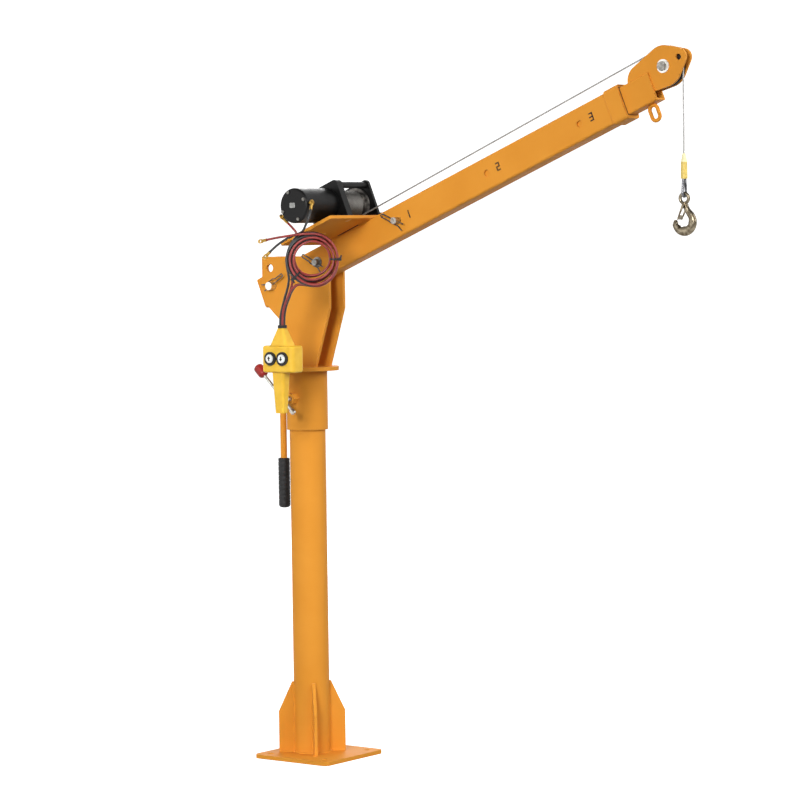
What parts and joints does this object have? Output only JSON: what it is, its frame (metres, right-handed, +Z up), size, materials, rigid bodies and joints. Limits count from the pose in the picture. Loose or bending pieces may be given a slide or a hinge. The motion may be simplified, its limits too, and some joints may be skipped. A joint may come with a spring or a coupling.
{
  "type": "truck-mounted crane",
  "caption": "Bolt-down column crane with a turning head, telescopic boom, electric winch, wire rope, hook and a wired hand control.",
  "frame": {"origin": "on the turning axis at the underside of the base plate", "axes": "+Z up along the column, +X the way the boom points, -Y the side of the winch motor and control"},
  "size_m": [1.2691, 0.3588, 1.7116],
  "materials": {
    "orange_paint": "satin powder coat",
    "zinc_steel": "bright zinc plate",
    "black_paint": "gloss black enamel",
    "black_plastic": "moulded black plastic",
    "yellow_plastic": "moulded yellow plastic",
    "red_plastic": "dipped red plastic",
    "white_plastic": "moulded white plastic",
    "black_rubber": "moulded grip",
    "bronze": "plain bearing bronze",
    "wire_rope": "galvanised wire rope",
    "pale_sleeve": "pale yellow shrink sleeve",
    "red_cable": "red cable jacket",
    "black_cable": "black cable jacket",
    "hook_steel": "bright plated forging",
    "terminal_brass": "plated terminal"
  },
  "bodies": {
    "mast": {"base_plate": "orange_paint", "base_gussets": "orange_paint", "column_tube": "orange_paint", "slew_thrust_washer": "bronze"},
    "slew_head": {"sleeve_tube": "orange_paint", "sleeve_flange": "orange_paint", "yoke_plates": "orange_paint", "lock_boss": "orange_paint", "handle_bracket": "orange_paint", "yoke_pins": "zinc_steel", "yoke_clips": "zinc_steel"},
    "handle": {"handle_bar": "orange_paint", "handle_grip": "black_rubber"},
    "lock_screw": {"lock_screw": "zinc_steel"},
    "lock_bar": {"lock_bar": "zinc_steel", "lock_bar_grip": "red_plastic"},
    "boom": {"outer_boom_tube": "orange_paint", "boom_pivot_bush": "zinc_steel", "boom_collar": "orange_paint", "extension_pin": "zinc_steel", "extension_clip": "zinc_steel", "winch_platform": "orange_paint", "winch_fasteners": "zinc_steel", "winch_frame_near": "black_paint", "winch_frame_far": "black_paint", "winch_tie_rods": "black_paint", "motor_can": "black_paint", "motor_end_cap": "black_paint", "motor_terminals": "terminal_brass", "rope_run": "wire_rope"},
    "armature": {"motor_armature": "zinc_steel"},
    "drum": {"winch_drum": "black_paint", "rope_winding": "wire_rope"},
    "inner_boom": {"inner_boom_tube": "orange_paint", "head_cheeks": "orange_paint", "head_bolt": "zinc_steel", "anchor_eye": "orange_paint"},
    "sheave": {"sheave_wheel": "zinc_steel"},
    "rope_hang": {"rope_wrap": "wire_rope", "rope_drop": "wire_rope"},
    "hook_block": {"rope_sleeve": "pale_sleeve", "thimble": "zinc_steel"},
    "hook": {"hook": "hook_steel"},
    "hook_latch": {"hook_latch": "hook_steel"},
    "control": {"control_front": "yellow_plastic", "control_back": "yellow_plastic", "control_gland": "black_plastic", "button_bezels": "black_plastic", "red_lead": "red_cable", "red_drop": "red_cable", "red_coil": "red_cable", "black_lead": "black_cable", "black_drop": "black_cable", "black_coil": "black_cable", "motor_red_lead": "red_cable", "motor_black_lead": "black_cable", "battery_lugs": "terminal_brass", "cable_ties": "black_plastic"},
    "up_button": {"up_button": "white_plastic"},
    "down_button": {"down_button": "white_plastic"}
  },
  "joints": [
    {"name": "slew", "type": "hinge", "parent": "mast", "child": "slew_head", "pos_m": [0, 0, 0.814], "axis": [0, 0, 1], "continuous": true},
    {"name": "handle_swing", "type": "hinge", "parent": "slew_head", "child": "handle", "pos_m": [-0.077, 0, 0.868], "axis": [0, 1, 0], "range_deg": [-4, 90]},
    {"name": "lock_turn", "type": "hinge", "parent": "slew_head", "child": "lock_screw", "pos_m": [0, -0.094, 0.893], "axis": [0, 1, 0], "range_deg": [0, 720]},
    {"name": "lock_bar_slide", "type": "slide", "parent": "lock_screw", "child": "lock_bar", "axis": [-0.7071, 0, 0.7071], "range_m": [-0.05, 0.024]},
    {"name": "luff", "type": "hinge", "parent": "slew_head", "child": "boom", "pos_m": [0.066, 0, 1.2275], "axis": [0, -1, 0], "range_deg": [-17, 0]},
    {"name": "drum_turn", "type": "hinge", "parent": "boom", "child": "drum", "pos_m": [0.15139, 0, 1.36495], "axis": [0, -1, 0], "range_deg": [-200, 2000]},
    {"name": "armature_turn", "type": "hinge", "parent": "boom", "child": "armature", "pos_m": [0.15139, 0, 1.36495], "axis": [0, -1, 0], "range_deg": [-1000, 10000]},
    {"name": "extend", "type": "slide", "parent": "boom", "child": "inner_boom", "axis": [0.9259, 0, 0.3778], "range_m": [0, 0.568], "deforming": ["rope_run"]},
    {"name": "sheave_turn", "type": "hinge", "parent": "inner_boom", "child": "sheave", "pos_m": [1.05646, 0, 1.6641], "axis": [0, 1, 0], "range_deg": [-160, 1560]},
    {"name": "rope_plumb", "type": "hinge", "parent": "inner_boom", "child": "rope_hang", "pos_m": [1.05646, 0, 1.6641], "axis": [0, -1, 0], "range_deg": [0, 17], "deforming": ["rope_wrap"]},
    {"name": "hoist", "type": "slide", "parent": "rope_hang", "child": "hook_block", "axis": [0, 0, -1], "range_m": [-0.12, 1.2], "deforming": ["rope_drop"]},
    {"name": "hook_swing", "type": "hinge", "parent": "hook_block", "child": "hook", "pos_m": [1.10046, 0, 1.3697], "axis": [0, 1, 0], "range_deg": [-40, 40]},
    {"name": "latch_swing", "type": "hinge", "parent": "hook", "child": "hook_latch", "pos_m": [1.10235, 0, 1.35096], "axis": [0, -1, 0], "range_deg": [0, 32], "stiffness_Nm_per_rad": 0.05, "springref_deg": -17.19},
    {"name": "control_plumb", "type": "hinge", "parent": "boom", "child": "control", "pos_m": [0.16038, -0.21898, 1.33993], "axis": [0, -1, 0], "range_deg": [0, 17], "deforming": ["motor_red_lead", "motor_black_lead"]},
    {"name": "up_press", "type": "slide", "parent": "control", "child": "up_button", "axis": [0, 1, 0], "range_m": [0, 0.003], "stiffness_N_per_m": 600, "springref_m": -0.001},
    {"name": "down_press", "type": "slide", "parent": "control", "child": "down_button", "axis": [0, 1, 0], "range_m": [0, 0.003], "stiffness_N_per_m": 600, "springref_m": -0.001}
  ],
  "couplings": [
    {"joint": "armature_turn", "follows": "drum_turn", "ratio": 5},
    {"joint": "sheave_turn", "follows": "drum_turn", "ratio": 0.77273},
    {"joint": "hoist", "follows": "drum_turn", "m_per_rad": 0.034},
    {"joint": "rope_plumb", "follows": "luff", "ratio": -1},
    {"joint": "control_plumb", "follows": "luff", "ratio": -1}
  ]
}
